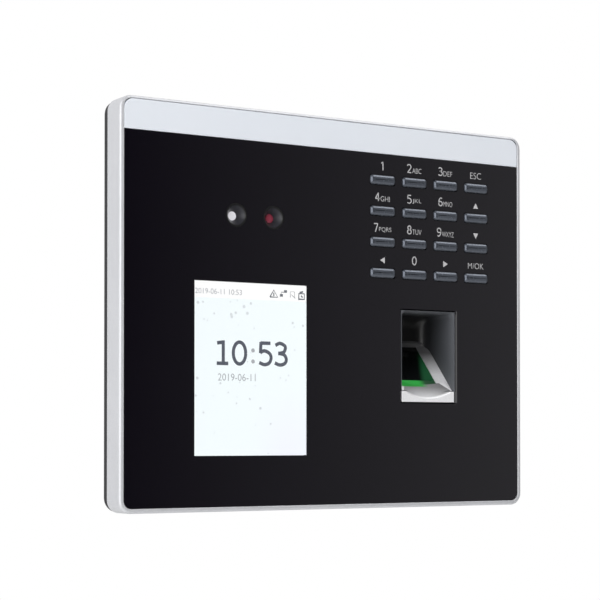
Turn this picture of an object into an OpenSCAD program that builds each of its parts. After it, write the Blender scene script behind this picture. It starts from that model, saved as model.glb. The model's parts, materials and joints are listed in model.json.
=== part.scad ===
// Wall-mounted fingerprint scanner terminal.
// Frame: +X to the right as seen from the front, +Z up, the front faces -Y.
// The origin is the centre of the four wall-screw holes, on the wall plane y = 0.
// Depths ("near" and "far") are measured from the plane of the front rim towards the wall.

/* [Body] */
// Width across the front frame
body_w = 163.2; // [163.2:0.2:168]
// Height of the front frame
body_h = 134.9; // [134.9:0.2:140]
// Depth from the front rim to the wall
body_d = 32; // [32:0.5:36]
// Outer corner radius of the front frame
corner_r = 5; // [3:0.5:6]
// Depth of the front frame
frame_d = 9.5; // [9.5:0.1:9.9]
// Thickness of the rear cover's flange
flange_t = 2.4; // [2.4:0.1:3]
// Width of the rear housing behind the flange
housing_w = 134; // [134:1:138]
// Height of the rear housing behind the flange
housing_h = 106; // [106:1:108]
// Wall thickness of the rear housing
wall_t = 2; // [1.8:0.1:2.2]

/* [Front panel] */
// Width of the rim that shows beside the panel
rim_w = 1.6; // [1.4:0.1:2]
// Width of the rim that shows above the top band
rim_top = 1; // [0.8:0.1:1.4]
// Height of the silver top band
band_h = 10; // [8:0.5:11]
// Corner radius of the panel
panel_r = 3.4; // [2:0.1:4]
// How far the panel lies behind the rim
panel_near = 0.3; // [0.2:0.1:0.5]
// Depth of the back of the panel
panel_far = 2; // [1.8:0.1:2]

/* [Display] */
// Width of the visible picture
screen_w = 43.2; // [42:0.1:43.2]
// Height of the visible picture
screen_h = 57.6; // [56:0.1:57.6]
// Centre of the picture, across
screen_x = -32.7; // [-33:0.1:-32]
// Centre of the picture, up
screen_z = -20.07; // [-21:0.01:-20]

/* [Keypad] */
// Width of a key
key_w = 10.2; // [9:0.1:10.4]
// Height of a key
key_h = 3.2; // [3:0.1:3.6]
// Distance between key centres, across
key_pitch_x = 13.6; // [13.4:0.1:13.8]
// Distance between key centres, down
key_pitch_z = 10.87; // [10.5:0.01:11]
// Centre of the first key, across
key_x = 20.3; // [20:0.1:20.6]
// Centre of the first key, up
key_z = 47.3; // [47:0.1:47.6]
// How far a key stands out of the panel
key_proud = 1; // [0.6:0.1:1.2]
// Travel of a key
key_travel = 0.8; // [0.5:0.1:0.9]

/* [Finger recess] */
// Width of the recess
well_w = 23.2; // [23.2:0.1:24]
// Centre of the recess, across
well_x = 39.9; // [39.5:0.1:40.3]
// Top edge of the recess
well_top = 2; // [1.6:0.1:2.2]
// Bottom edge of the recess
well_bottom = -30.3; // [-30.6:0.1:-30.2]
// Slope of the finger rest from the horizontal, degrees
ramp_angle = 47.3; // [47:0.1:47.6]
// Depth of the middle of the finger rest
ramp_depth = 9.45; // [9.3:0.05:9.6]
// Height of the middle of the finger rest
ramp_z = -16.85; // [-17:0.05:-16.7]

/* [Lenses] */
// Centre of the fill light, across
light_x = -38.5; // [-39:0.1:-38]
// Centre of the camera, across
camera_x = -24.1; // [-25:0.1:-24]
// Height of both centres
lens_z = 31.2; // [31:0.1:31.4]
// Radius of the conical well at the front
lens_well_r = 3.5; // [3:0.1:3.8]
// Radius of the lens at the bottom of the well
lens_r = 1.5; // [1.3:0.1:1.8]

/* [Wall mount] */
// Distance between wall-screw holes, across
screw_pitch_x = 60; // [54:1:62]
// Distance between wall-screw holes, up
screw_pitch_z = 60; // [50:1:62]
// Radius of a wall-screw hole
screw_hole_r = 2.25; // [2:0.05:2.5]
// Width of the wall bracket
bracket_w = 116; // [112:1:120]
// Height of the wall bracket
bracket_h = 86; // [86:1:90]
// Thickness of the bracket's sheet steel
bracket_t = 1.5; // [1.2:0.1:1.5]

/* [Hidden] */
$fn = 64;

face_y = -body_d;
gap = 0.2;
hair = 0.05;
past = 1;

// Front panel and band
panel_w = body_w - 2 * rim_w;
panel_top = body_h / 2 - rim_top;
panel_bottom = -body_h / 2 + rim_w;
band_bottom = panel_top - band_h;
tape_far = 2.2;
tape_w = 3;
ledge_far = 4;

// Frame and cover
frame_wall = 2.4;
cavity_w = body_w - 2 * frame_wall;
cavity_h = body_h - 2 * frame_wall;
cavity_r = 3;
flange_far = frame_d + flange_t;
cover_inset = 0.2;
cover_far = body_d - gap;
recess_deep = 4.4;
floor_far = body_d - recess_deep;
cover_floor = floor_far - wall_t;
housing_r = 6;
inner_w = housing_w - 2 * wall_t;
inner_h = housing_h - 2 * wall_t;
inner_r = 4;
locating_lip = 1.5;
boss_r = 3;
boss_x = 74;
boss_z = 60;
CASE_SCREWS = [for (x = [-boss_x, 0, boss_x], z = [-boss_z, boss_z]) [x, z]];

// Screws
m3_r = 1.5;
m3_head_r = 2.7;
m3_head_h = 1.6;
m2_r = 1;
m2_head_r = 1.9;
m2_head_h = 1.2;

// Display
window_far = 0.6;
glass_far = 3.8;
tray_far = 6.3;
module_w = 50;
module_h = 69.2;
module_z = screen_z - 1.8;
tray_rim = 3;
tray_sink = 0.4;
flex_x = -32;
flex_w = 20;
flex_t = 0.3;
flex_near = 4.2;
flex_turn = 8;
flex_drop = 3;
flex_rise = 15;

// Lenses
lens_near = 3.3;
lens_dome_r = 4;
lens_dome = 0.4;
funnel_t = 0.5;
bezel_far = 5;
bezel_w = 27;
bezel_h = 12;
bezel_x = (light_x + camera_x) / 2;
bezel_post_r = 1.4;
bezel_post_z = 4.4;
barrel_r = 4.2;
barrel_bore_r = 2.2;
barrel_foot_r = 5.2;
barrel_foot_h = 1.4;
led_w = 3.5;
led_h = 2.8;
led_near = 8.2;
lens_board_near = 9;
lens_board_far = 10.2;
lens_board_w = 30;
lens_board_h = 16;
lens_board_hole_x = 13;
lens_board_hole_z = -6;
lens_board_hole_r = 0.9;

// Keypad
key_r = 0.5;
key_clear = 0.25;
key_back = ledge_far - gap - key_travel - 2 * hair;
skirt_over = 0.5;
skirt_r = 0.8;
key_mid_x = key_x + 1.5 * key_pitch_x;
key_mid_z = key_z - 1.5 * key_pitch_z;
mat_w = 57.4;
mat_h = 42.2;
mat_far = 5;
mat_lap = 1.3;
dome_r = 1.4;
keypad_w = 63.8;
keypad_h = 49;
keypad_far = 6.2;
keypad_screw_x = 29.9;
keypad_screw_z = 22.6;
keypad_post_r = 1.9;
keypad_screw_l = 3.2;
KEYPAD_SCREWS = [for (x = [-1, 1], z = [-1, 1])
    [key_mid_x + x * keypad_screw_x, key_mid_z + z * keypad_screw_z]];
keypad_ribbon_x = 14;
keypad_ribbon_z = 22;
keypad_ribbon_w = 14;

// Flat cables
ribbon_w = 10;
ribbon_hold = 5;

// Finger recess
well_wall = 0.7;
well_near = 0.2;
well_far = 19.4;
well_back_t = 1;
well_back_z = -7.6;
well_foot = -8.6;
well_clear = 0.5;
well_h = well_top - well_bottom;
well_mid_z = (well_top + well_bottom) / 2;
lip_top = -26.5;
lip_far = 3.4;
lip_w = 22.6;

// Finger rest and sensor: lengths up the slope of the rest and depths below its upper edge
rest_half_w = well_w / 2 - well_wall;
rest_half_l = 12.5;
rest_t = 3.2;
trough_drop = 1.7;
glass_half_w = 7.5;
glass_foot = -8.2;
glass_head = 11.2;
scoop_r = 31.5;
scoop_drop = 1.5;
prism_top = 1.9;
prism_depth = 6.6;
prism_foot = -5.8;
bar_l = 2.3;
bar_t = 1.2;
housing_half_w = 10.5;
housing_near = 3.3;
housing_deep = 9.7;
housing_foot = -7.2;
housing_head = 11.4;
imager_r = 2.4;
imager_s = 2.7;
imager_h = 0.7;
sensor_board_t = 1.2;
sensor_board_s = -housing_deep - 0.1 - sensor_board_t;

// Main board
board_near = 13;
board_far = 14.6;
board_left = -56;
board_right = 22;
board_half_h = 46;
post_in = 4;
POSTS = [for (x = [board_left + post_in, board_right - post_in], z = [-1, 1])
    [x, z * (board_half_h - post_in)]];
post_r = 3;
board_screw_l = 6;

// Parts on the back of the main board: chips as left, bottom, width, height and thickness
CHIPS = [[-44, 20, 14, 14, 1.4], [-24, 22, 9, 11, 1.1], [-44, 6, 10, 7, 1.1]];
CAPACITORS_X = [-8, -2];
capacitor_r = 2.5;
capacitor_h = 5.4;
DRIVERS_X = [-28 : 8 : 4];
driver_w = 5;
driver_h = 4;
driver_t = 1.6;
driver_z = -34;
buzzer_x = 14;
buzzer_z = 30;
buzzer_r = 4.5;
buzzer_h = 5;
sound_hole_r = 1;
cell_x = -44;
cell_z = -24;
cell_r = 10;
cell_t = 3.2;
cell_rise = 2.4;
relay_x = 4;
relay_z = -30;
relay_w = 15;
relay_l = 19;
relay_h = 10;
speaker_t = 3;
speaker_l = 30;
speaker_mid = 20;
speaker_cone_r = 5.2;
speaker_cone_deep = 1.6;

// Openings in the back
cable_w = 44;
cable_h = 26;
jack_x = -11;
jack_w = 16;
jack_h = 14;
jack_floor = 17.6;
jack_far = 27.4;
plug_w = 12;
plug_h = 8;
latch_w = 6;
latch_h = 1.6;
terminals_x = 11.5;
terminals_w = 17;
terminals_far = 24.6;
terminals_h = 12;
terminal_pitch = 4.1;
terminal_hole_z = 2.6;
wire_hole_r = 1.3;
wire_hole_floor = 3.4;
wire_screw_r = 1.5;
wire_screw_deep = 2.6;
usb_x = -23;
usb_w = 14;
usb_l = 13.9;
usb_t = 0.6;
usb_hole_l = 11;
usb_near = board_far;
usb_far = 21.1;
usb_bottom = -52.9;
usb_clear = 0.3;
slat_pitch = 4;
slat_reach = 12;
slat_h = 1.6;
slat_near = 15;
slat_far = 25;

// Hooks of the bracket, and the slots they pass through
HOOKS = [for (x = [-40, 40], z = [-40, 28]) [x, z]];
hook_w = 10;
hook_t = 1.9;
hook_tip_t = 1.5;
hook_rise = 6;
hook_near = cover_floor - 1.7;
hook_hole = 7;
slot_drop = 8;
slot_side = 0.4;
tab_w = 14;
tab_t = 1.5;
tab_near = 19.5;
tab_z = -bracket_h / 2;
lock_depth = 23;
lock_l = 16;
lock_head_r = 2.8;
lock_head_h = 2.2;
hex_r = 1.3;
hex_deep = 1.2;

// Tamper switch
tamper_x = 53;
tamper_near = 20;
tamper_w = 8;
tamper_r = 2;
tamper_rest = 1.2;

// ---- helpers ----

// An outline in x and z, drawn out from depth near to depth far
module slab(near, far)
    translate([0, face_y + far, 0]) rotate([90, 0, 0]) linear_extrude(far - near) children();

module round_rect(w, h, r) {
    square([w - 2 * r, h], center = true);
    square([w, h - 2 * r], center = true);
    for (x = [-1, 1], z = [-1, 1])
        translate([x * (w / 2 - r), z * (h / 2 - r)]) circle(r);
}

module rod(x, z, r, near, far)
    slab(near, far) translate([x, z]) circle(r);

module cone(x, z, r_near, r_far, near, far)
    translate([x, face_y + far, z]) rotate([90, 0, 0]) cylinder(h = far - near, r1 = r_far, r2 = r_near);

module box(x0, x1, near, far, z0, z1)
    translate([x0, face_y + near, z0]) cube([x1 - x0, far - near, z1 - z0]);

// A block w by h about x and z
module block(x, z, w, h, near, far)
    slab(near, far) translate([x, z]) square([w, h], center = true);

// Profile of depth and height, as wide as w about x
module side_profile(x, w)
    translate([x - w / 2, face_y, 0]) rotate([90, 0, 90]) linear_extrude(w) children();

// Local frame of the finger rest: y up the slope, z out of its surface
module on_ramp()
    translate([well_x, face_y + ramp_depth, ramp_z]) rotate([ramp_angle, 0, 0]) children();

module ramp_box(half_w, y0, y1, z0, z1)
    on_ramp() translate([-half_w, y0, z0]) cube([2 * half_w, y1 - y0, z1 - z0]);

module at_screen() translate([screen_x, screen_z]) children();

module key_place(i) translate([key_x + (i % 4) * key_pitch_x, key_z - floor(i / 4) * key_pitch_z]) children();

module pocket_outline(grow)
    translate([0, (panel_top + panel_bottom) / 2])
        round_rect(panel_w + 2 * grow, panel_top - panel_bottom + 2 * grow, panel_r + grow);

// ---- wall bracket ----

module wall_bracket() color("silver") difference() {
    union() {
        slab(body_d - bracket_t, body_d) round_rect(bracket_w, bracket_h, 4);
        for (h = HOOKS) {
            block(h[0], h[1] + hook_t / 2, hook_w, hook_t, hook_near, body_d - bracket_t);
            block(h[0], h[1] + hook_rise / 2, hook_w, hook_rise, hook_near, hook_near + hook_tip_t);
        }
        box(-tab_w / 2, tab_w / 2, tab_near, body_d, tab_z, tab_z + tab_t);
    }
    slab(body_d - bracket_t - past, body_d + past) {
        round_rect(cable_w, cable_h + 2, 2);
        for (x = [-1, 1], z = [-1, 1])
            translate([x * screw_pitch_x / 2, z * screw_pitch_z / 2]) circle(screw_hole_r);
        for (h = HOOKS)
            translate([h[0], h[1] + hook_t + hook_hole / 2]) square([hook_w, hook_hole], center = true);
    }
    translate([0, face_y + lock_depth, tab_z - past]) cylinder(h = tab_t + 2 * past, r = m3_r);
}

module lock_screw() color("dimgray") translate([0, face_y + lock_depth, -housing_h / 2]) {
    translate([0, 0, -lock_head_h]) difference() {
        cylinder(h = lock_head_h, r = lock_head_r);
        translate([0, 0, -past]) cylinder(h = hex_deep + past, r = hex_r, $fn = 6);
    }
    cylinder(h = lock_l, r = m3_r - hair);
}

// ---- rear cover ----

module rear_cover() color("#2a292d") difference() {
    union() {
        slab(frame_d, flange_far)
            round_rect(body_w - 2 * cover_inset, body_h - 2 * cover_inset, corner_r - cover_inset);
        slab(flange_far, cover_far) round_rect(housing_w, housing_h, housing_r);
        slab(frame_d - locating_lip, frame_d) difference() {
            round_rect(cavity_w - gap, cavity_h - gap, cavity_r);
            round_rect(cavity_w - gap - 2, cavity_h - gap - 2, cavity_r - 1);
        }
    }
    slab(floor_far, cover_far + past) round_rect(inner_w, inner_h, inner_r);
    difference() {
        slab(frame_d - past, cover_floor) round_rect(inner_w, inner_h, inner_r);
        for (p = POSTS) rod(p[0], p[1], post_r, board_far, cover_floor);
    }
    for (p = POSTS) rod(p[0], p[1], m2_r + hair, board_far - past, board_far + board_screw_l + 2);
    for (s = CASE_SCREWS) {
        rod(s[0], s[1], m3_r + hair, frame_d - past, flange_far + past);
        rod(s[0], s[1], m3_head_r + gap, flange_far - m3_head_h, flange_far + past);
    }
    back_openings();
    side_openings();
}

module back_openings() {
    slab(cover_floor - past, floor_far + past) {
        round_rect(cable_w, cable_h, 2);
        for (h = HOOKS)
            translate([h[0] - hook_w / 2 - slot_side, h[1] - slot_drop])
                square([hook_w + 2 * slot_side, slot_drop + hook_t + hair]);
        translate([-tab_w / 2 - slot_side, tab_z - slot_drop + 1])
            square([tab_w + 2 * slot_side, slot_drop - 1 + tab_t + slot_side]);
        translate([tamper_x, 0]) circle(tamper_r + 0.15);
    }
}

module side_openings() {
    block(usb_x, -housing_h / 2, usb_w + 2 * usb_clear, 2 * wall_t + 2 * past,
        usb_near - usb_clear, usb_far + usb_clear);
    translate([0, face_y + lock_depth, -housing_h / 2 - past])
        cylinder(h = wall_t + 2 * past, r = m3_r + 0.1);
    for (z = [-slat_reach : slat_pitch : slat_reach])
        box(-housing_w / 2 - past, -inner_w / 2 + past, slat_near, slat_far, z - slat_h / 2, z + slat_h / 2);
}

// ---- front frame and what fills its front ----

module front_frame() color("#d1d2d6") difference() {
    union() {
        slab(0, frame_d) difference() {
            round_rect(body_w, body_h, corner_r);
            round_rect(cavity_w, cavity_h, cavity_r);
        }
        slab(tape_far, ledge_far) round_rect(cavity_w + 1, cavity_h + 1, cavity_r);
        for (s = CASE_SCREWS) rod(s[0], s[1], boss_r, ledge_far - hair, frame_d);
        for (k = KEYPAD_SCREWS) rod(k[0], k[1], keypad_post_r, ledge_far - hair, mat_far);
    }
    slab(-past, tape_far) pocket_outline(hair);
    slab(tape_far - past, ledge_far + past) ledge_openings();
    for (s = CASE_SCREWS) rod(s[0], s[1], m3_r + hair, ledge_far + 0.5, frame_d + past);
    for (k = KEYPAD_SCREWS) rod(k[0], k[1], m2_r + hair, tape_far + 0.6, mat_far + past);
}

module ledge_openings() {
    translate([screen_x, module_z]) square([module_w + 2 * gap, module_h + 2 * gap], center = true);
    translate([bezel_x, lens_z]) square([bezel_w + gap, bezel_h + gap], center = true);
    translate([key_mid_x, key_mid_z]) square([mat_w - 2 * mat_lap, mat_h - 2 * mat_lap], center = true);
    translate([well_x, well_mid_z]) square([well_w + gap, well_h + gap], center = true);
}

module top_band() color("#e4e9ef") slab(panel_near - 0.2, tape_far) intersection() {
    pocket_outline(0);
    translate([-panel_w, band_bottom + 0.1]) square([2 * panel_w, band_h]);
}

module front_panel() color("#15131a") difference() {
    slab(panel_near, panel_far) difference() {
        intersection() {
            pocket_outline(0);
            below_band();
        }
        at_screen() square([screen_w + 2 * hair, screen_h + 2 * hair], center = true);
        for (i = [0 : 15]) key_place(i) key_outline(key_clear, key_r + key_clear);
        translate([well_x, well_mid_z]) round_rect(well_w + 2 * well_clear, well_h + 2 * well_clear, 0.8);
    }
    for (x = [light_x, camera_x])
        rod(x, lens_z, lens_well_r + funnel_t + hair, panel_near - past, panel_far + past);
}

module below_band()
    translate([-panel_w, panel_bottom - past]) square([2 * panel_w, band_bottom - panel_bottom + past]);

// The conical well in front of each lens
module lens_well(x) {
    slope = (lens_well_r - lens_r - hair) / (lens_near - panel_near);
    cone(x, lens_z, lens_well_r + slope * 0.1, lens_r + hair, panel_near - 0.1, lens_near);
}

module panel_tape() color("#303034") slab(panel_far, tape_far) difference() {
    intersection() {
        pocket_outline(-hair);
        below_band();
    }
    translate([0, (band_bottom + panel_bottom) / 2])
        square([panel_w - 2 * tape_w, band_bottom - panel_bottom - 2 * tape_w], center = true);
}

// ---- display ----

module display_window() color("#f4fbfd", 0.4)
    block(screen_x, screen_z, screen_w, screen_h, panel_near, window_far);

module display_panel() color("#f4fbfd") {
    block(screen_x, screen_z, screen_w - hair, screen_h - hair, window_far + hair, panel_far + hair);
    block(screen_x, module_z, module_w, module_h, panel_far + hair, glass_far);
}

module display_tray() color("silver") difference() {
    slab(glass_far, tray_far) translate([screen_x, module_z]) round_rect(module_w, module_h, 1);
    slab(tray_far - tray_sink, tray_far + past)
        translate([screen_x, module_z]) round_rect(module_w - 2 * tray_rim, module_h - 2 * tray_rim, 1);
}

// Runs down from the tray, back, up, and into the front of the main board
module display_flex() {
    foot = module_z - module_h / 2;
    low = foot - flex_drop - flex_t;
    color("#c8702a") side_profile(flex_x, flex_w) {
        translate([flex_near, low]) square([flex_t, flex_drop + flex_t]);
        translate([flex_near, low]) square([flex_turn - flex_near + flex_t, flex_t]);
        translate([flex_turn, low]) square([flex_t, flex_rise]);
        translate([flex_turn, low + flex_rise - flex_t]) square([board_near - flex_turn, flex_t]);
    }
}

// ---- lenses ----

// One moulding, whose two funnels come forward through the panel to its face
module lens_bezel() color("#1b1a1e") difference() {
    union() {
        slab(panel_far, bezel_far) translate([bezel_x, lens_z]) round_rect(bezel_w, bezel_h, 1.5);
        for (x = [light_x, camera_x]) rod(x, lens_z, lens_well_r + funnel_t, panel_near, panel_far + hair);
        for (z = [-1, 1])
            rod(bezel_x, lens_z + z * bezel_post_z, bezel_post_r, bezel_far - hair, lens_board_near);
    }
    for (x = [light_x, camera_x]) {
        lens_well(x);
        rod(x, lens_z, lens_r + hair, lens_near - hair, bezel_far + past);
    }
}

module camera_lens() color("#8f3f50") intersection() {
    rod(camera_x, lens_z, lens_r, lens_near - lens_dome, bezel_far);
    translate([camera_x, face_y + lens_near - lens_dome + lens_dome_r, lens_z]) sphere(r = lens_dome_r);
}

module fill_light() color("white") rod(light_x, lens_z, lens_r, lens_near, led_near);

module camera_barrel() color("#222226") difference() {
    union() {
        rod(camera_x, lens_z, barrel_r, bezel_far, lens_board_near);
        rod(camera_x, lens_z, barrel_foot_r, lens_board_near - barrel_foot_h, lens_board_near);
    }
    rod(camera_x, lens_z, barrel_bore_r, bezel_far - past, lens_board_near - barrel_foot_h);
}

module camera_board() color("#1f5c3a") difference() {
    block(bezel_x, lens_z, lens_board_w, lens_board_h, lens_board_near, lens_board_far);
    for (x = [-1, 1])
        rod(bezel_x + x * lens_board_hole_x, lens_z + lens_board_hole_z, lens_board_hole_r,
            lens_board_near - past, lens_board_far + past);
}

module fill_light_led() color("#f2e9a0")
    block(light_x, lens_z, led_w, led_h, led_near, lens_board_near);

module camera_ribbon() color("#d9dade") side_profile(bezel_x, ribbon_w) {
    foot = lens_z + lens_board_hole_z;
    translate([lens_board_far, foot]) square([flex_t, ribbon_hold]);
    translate([lens_board_far, foot - flex_t]) square([board_near - lens_board_far, flex_t]);
}

// ---- keypad ----

module key_outline(grow, r) round_rect(key_w + 2 * grow, key_h + 2 * grow, r);

module key(i) color("#6b7079") {
    slab(panel_near - key_proud, panel_far + 0.1) key_place(i) key_outline(0, key_r);
    slab(panel_far + 0.1, key_back) key_place(i) key_outline(key_clear + skirt_over, skirt_r);
}

// Rubber mat, with its domes at the height they have when pressed flat
module keypad_mat() color("#8d8f94") {
    slab(ledge_far, mat_far) translate([key_mid_x, key_mid_z]) round_rect(mat_w, mat_h, 1);
    slab(ledge_far - gap, ledge_far) for (i = [0 : 15]) key_place(i) circle(dome_r);
}

module keypad_board() color("#1f5c3a") difference() {
    slab(mat_far, keypad_far) translate([key_mid_x, key_mid_z]) round_rect(keypad_w, keypad_h, 1.5);
    for (k = KEYPAD_SCREWS) rod(k[0], k[1], m2_r + 0.1, mat_far - past, keypad_far + past);
}

// The cross recess in a screw head that faces the wall
module cross_recess(x, z, far, length, width, depth)
    for (a = [0, 90]) translate([x, face_y + far, z]) rotate([0, a, 0])
        cube([length, 2 * depth, width], center = true);

module keypad_screws() color("silver") for (k = KEYPAD_SCREWS) {
    rod(k[0], k[1], m2_r, keypad_far - keypad_screw_l, keypad_far);
    difference() {
        rod(k[0], k[1], m2_head_r, keypad_far, keypad_far + m2_head_h);
        cross_recess(k[0], k[1], keypad_far + m2_head_h, 2.2, 0.5, 0.5);
    }
}

module keypad_ribbon() color("#d9dade") {
    box(keypad_ribbon_x, keypad_ribbon_x + flex_t, keypad_far, board_near,
        keypad_ribbon_z, keypad_ribbon_z + keypad_ribbon_w);
    box(keypad_ribbon_x + flex_t, keypad_ribbon_x + 3, keypad_far, keypad_far + flex_t,
        keypad_ribbon_z, keypad_ribbon_z + keypad_ribbon_w);
}

// ---- finger recess and its optical sensor ----

module finger_well() color("#3a3b3f") {
    for (x = [-1, 1])
        side_profile(well_x + x * (well_w - well_wall) / 2, well_wall)
            polygon([[well_near, well_top], [well_far, well_top], [well_far, well_foot],
                [lip_far - 0.5, lip_top], [well_near, lip_top]]);
    block(well_x, well_top - well_wall / 2, 2 * rest_half_w, well_wall, well_near, well_far);
    ceiling = well_top - well_wall;
    block(well_x, (ceiling + well_back_z) / 2, 2 * rest_half_w, ceiling - well_back_z,
        well_far - well_back_t, well_far);
}

// A plate with a window for the glass, whose sides slope down to the window like a trough
module finger_rest() color("#c9cacc") difference() {
    union() {
        ramp_box(rest_half_w, -rest_half_l, rest_half_l, -rest_t, 0);
        block(well_x, (lip_top + well_bottom) / 2, lip_w, lip_top - well_bottom, well_near, lip_far);
    }
    ramp_box(glass_half_w, glass_foot, glass_head, -rest_t - past, past);
    on_ramp() translate([0, glass_foot, 0]) rotate([-90, 0, 0]) linear_extrude(glass_head - glass_foot)
        polygon([[-rest_half_w, 0], [-rest_half_w, -past], [rest_half_w, -past], [rest_half_w, 0],
            [glass_half_w, trough_drop], [-glass_half_w, trough_drop]]);
    on_ramp() translate([0, -rest_half_l - 4, scoop_r - scoop_drop]) rotate([-90, 0, 0])
        cylinder(h = rest_half_l + 4 + glass_foot + hair, r = scoop_r, $fn = 128);
}

// Section of the prism: a right-angled one with its deep edge cut off
module prism_section(grow)
    polygon([[prism_foot - grow, -prism_top], [glass_head - hair + grow, -prism_top],
        [glass_head - hair + grow - prism_depth - grow, -prism_top - prism_depth - grow],
        [prism_foot + prism_depth, -prism_top - prism_depth - grow]]);

module on_ramp_across(half_w)
    on_ramp() translate([-half_w, 0, 0]) rotate([90, 0, 90]) linear_extrude(2 * half_w) children();

module sensor_prism() color("#0e1a14", 0.8) on_ramp_across(glass_half_w - 0.1) prism_section(0);

module sensor_light_bar() color("#22a03a") {
    foot = glass_foot + hair;
    ramp_box(glass_half_w - 0.1, foot, foot + bar_l, -prism_top - bar_t, -prism_top);
}

module sensor_housing() color("#1b1a1e") difference() {
    ramp_box(housing_half_w, housing_foot, housing_head, -housing_deep, -housing_near);
    on_ramp_across(glass_half_w) prism_section(0.1);
    on_ramp() translate([0, imager_s, -housing_deep - past]) cylinder(h = 4, r = imager_r + 0.1);
}

module sensor_imager() color("#222226") on_ramp()
    translate([0, imager_s, -housing_deep - 0.1]) cylinder(h = imager_h, r = imager_r);

module sensor_board() color("#1f5c3a")
    ramp_box(housing_half_w, housing_foot, housing_head, sensor_board_s, sensor_board_s + sensor_board_t);

// Lies on the back of the sensor's board and runs across to the edge of the main board
module sensor_ribbon() color("#d9dade") on_ramp()
    translate([board_right - well_x, housing_foot + 0.4, sensor_board_s - flex_t])
        cube([well_x - board_right + ribbon_w, ribbon_hold, flex_t]);

// ---- main board ----

module main_board() color("#1f5c3a") difference() {
    box(board_left, board_right, board_near, board_far, -board_half_h, board_half_h);
    for (p = POSTS) rod(p[0], p[1], m2_r + 0.1, board_near - past, board_far + past);
}

// Put in from the front, with their heads on the front of the board
module board_screws() color("silver") for (p = POSTS) {
    rod(p[0], p[1], m2_r, board_near, board_far + board_screw_l);
    rod(p[0], p[1], m2_head_r, board_near - m2_head_h, board_near);
}

module board_chips() color("#26272b") {
    for (c = CHIPS) box(c[0], c[0] + c[2], board_far, board_far + c[4], c[1], c[1] + c[3]);
    for (x = CAPACITORS_X) rod(x, buzzer_z, capacitor_r, board_far, board_far + capacitor_h);
    for (x = DRIVERS_X) box(x, x + driver_w, board_far, board_far + driver_t, driver_z, driver_z + driver_h);
}

module network_jack() color("silver") difference() {
    block(jack_x, 0, jack_w, jack_h, board_far, jack_far);
    block(jack_x, 0, plug_w, plug_h, jack_floor, jack_far + past);
    block(jack_x, -plug_h / 2, latch_w, 2 * latch_h, jack_floor, jack_far + past);
}

module terminal_block() color("#2f8f4e") difference() {
    block(terminals_x, 0, terminals_w, terminals_h, board_far, terminals_far);
    for (i = [0 : 3]) {
        x = terminals_x + (i - 1.5) * terminal_pitch;
        rod(x, -terminal_hole_z, wire_hole_r, board_far + wire_hole_floor, terminals_far + past);
        rod(x, terminal_hole_z, wire_screw_r, terminals_far - wire_screw_deep, terminals_far + past);
    }
}

module usb_socket() color("silver") difference() {
    block(usb_x, usb_bottom + usb_l / 2, usb_w, usb_l, usb_near, usb_far);
    block(usb_x, usb_bottom, usb_w - 2 * usb_t, 2 * usb_hole_l, usb_near + usb_t, usb_far - usb_t);
}

module buzzer() color("#1b1a1e") difference() {
    rod(buzzer_x, buzzer_z, buzzer_r, board_far, board_far + buzzer_h);
    rod(buzzer_x, buzzer_z, sound_hole_r, board_far + buzzer_h - 1.5, board_far + buzzer_h + past);
}

module clock_cell() color("silver") {
    rod(cell_x, cell_z, cell_r - 2, board_far, board_far + cell_rise);
    rod(cell_x, cell_z, cell_r, board_far + cell_rise, board_far + cell_rise + cell_t);
}

module door_relay() color("#2b5c9e")
    box(relay_x, relay_x + relay_w, board_far, board_far + relay_h, relay_z, relay_z + relay_l);

module along_x(x) translate([x, face_y + speaker_mid, 0]) rotate([0, 90, 0]) children();

module speaker() color("#26272b") difference() {
    union() {
        block((speaker_t - inner_w) / 2, 0, speaker_t, speaker_l, speaker_mid - 6, cover_floor - gap);
        along_x(speaker_t - inner_w / 2) cylinder(h = 2, r = 5);
    }
    along_x(-inner_w / 2 - past) cylinder(h = past + speaker_cone_deep, r = speaker_cone_r);
}

// ---- tamper switch ----

module tamper_switch() color("#1b1a1e") difference() {
    block(tamper_x, 0, tamper_w, tamper_w, tamper_near, cover_floor);
    rod(tamper_x, 0, tamper_r + hair, tamper_near + tamper_r, cover_floor + past);
}

module tamper_plunger() color("white")
    rod(tamper_x, 0, tamper_r, tamper_near + tamper_r + tamper_rest, body_d - bracket_t - 0.1);

// ---- case screws ----

module case_screws() color("dimgray") for (s = CASE_SCREWS) {
    rod(s[0], s[1], m3_r, ledge_far + 1, flange_far - m3_head_h);
    difference() {
        rod(s[0], s[1], m3_head_r, flange_far - m3_head_h, flange_far - 0.1);
        cross_recess(s[0], s[1], flange_far, 3.2, 0.7, 0.7);
    }
}

wall_bracket();
lock_screw();
rear_cover();
front_frame();
top_band();
front_panel();
panel_tape();
display_window();
display_panel();
display_tray();
display_flex();
lens_bezel();
camera_lens();
fill_light();
camera_barrel();
camera_board();
fill_light_led();
camera_ribbon();
key(0);  // key_1
key(1);  // key_2
key(2);  // key_3
key(3);  // key_esc
key(4);  // key_4
key(5);  // key_5
key(6);  // key_6
key(7);  // key_up
key(8);  // key_7
key(9);  // key_8
key(10);  // key_9
key(11);  // key_down
key(12);  // key_left
key(13);  // key_0
key(14);  // key_right
key(15);  // key_ok
keypad_mat();
keypad_board();
keypad_screws();
keypad_ribbon();
finger_well();
finger_rest();
sensor_prism();
sensor_light_bar();
sensor_housing();
sensor_imager();
sensor_board();
sensor_ribbon();
main_board();
board_chips();
board_screws();
network_jack();
terminal_block();
usb_socket();
buzzer();
clock_cell();
door_relay();
speaker();
tamper_switch();
tamper_plunger();
case_screws();
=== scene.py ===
# %% [markdown]
# # A wall-mounted fingerprint scanner terminal
#
# The terminal is a flat box: a silver frame around a glossy black front, with a display, a keypad,
# two small lens wells and a sloped finger recess. A CAD model already holds every part at its real
# size, so this script never places anything by eye. It loads that model, gives each part the finish
# of the real material, and rebuilds the few parts whose soft edges the light would show.

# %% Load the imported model
import json
import math

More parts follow.
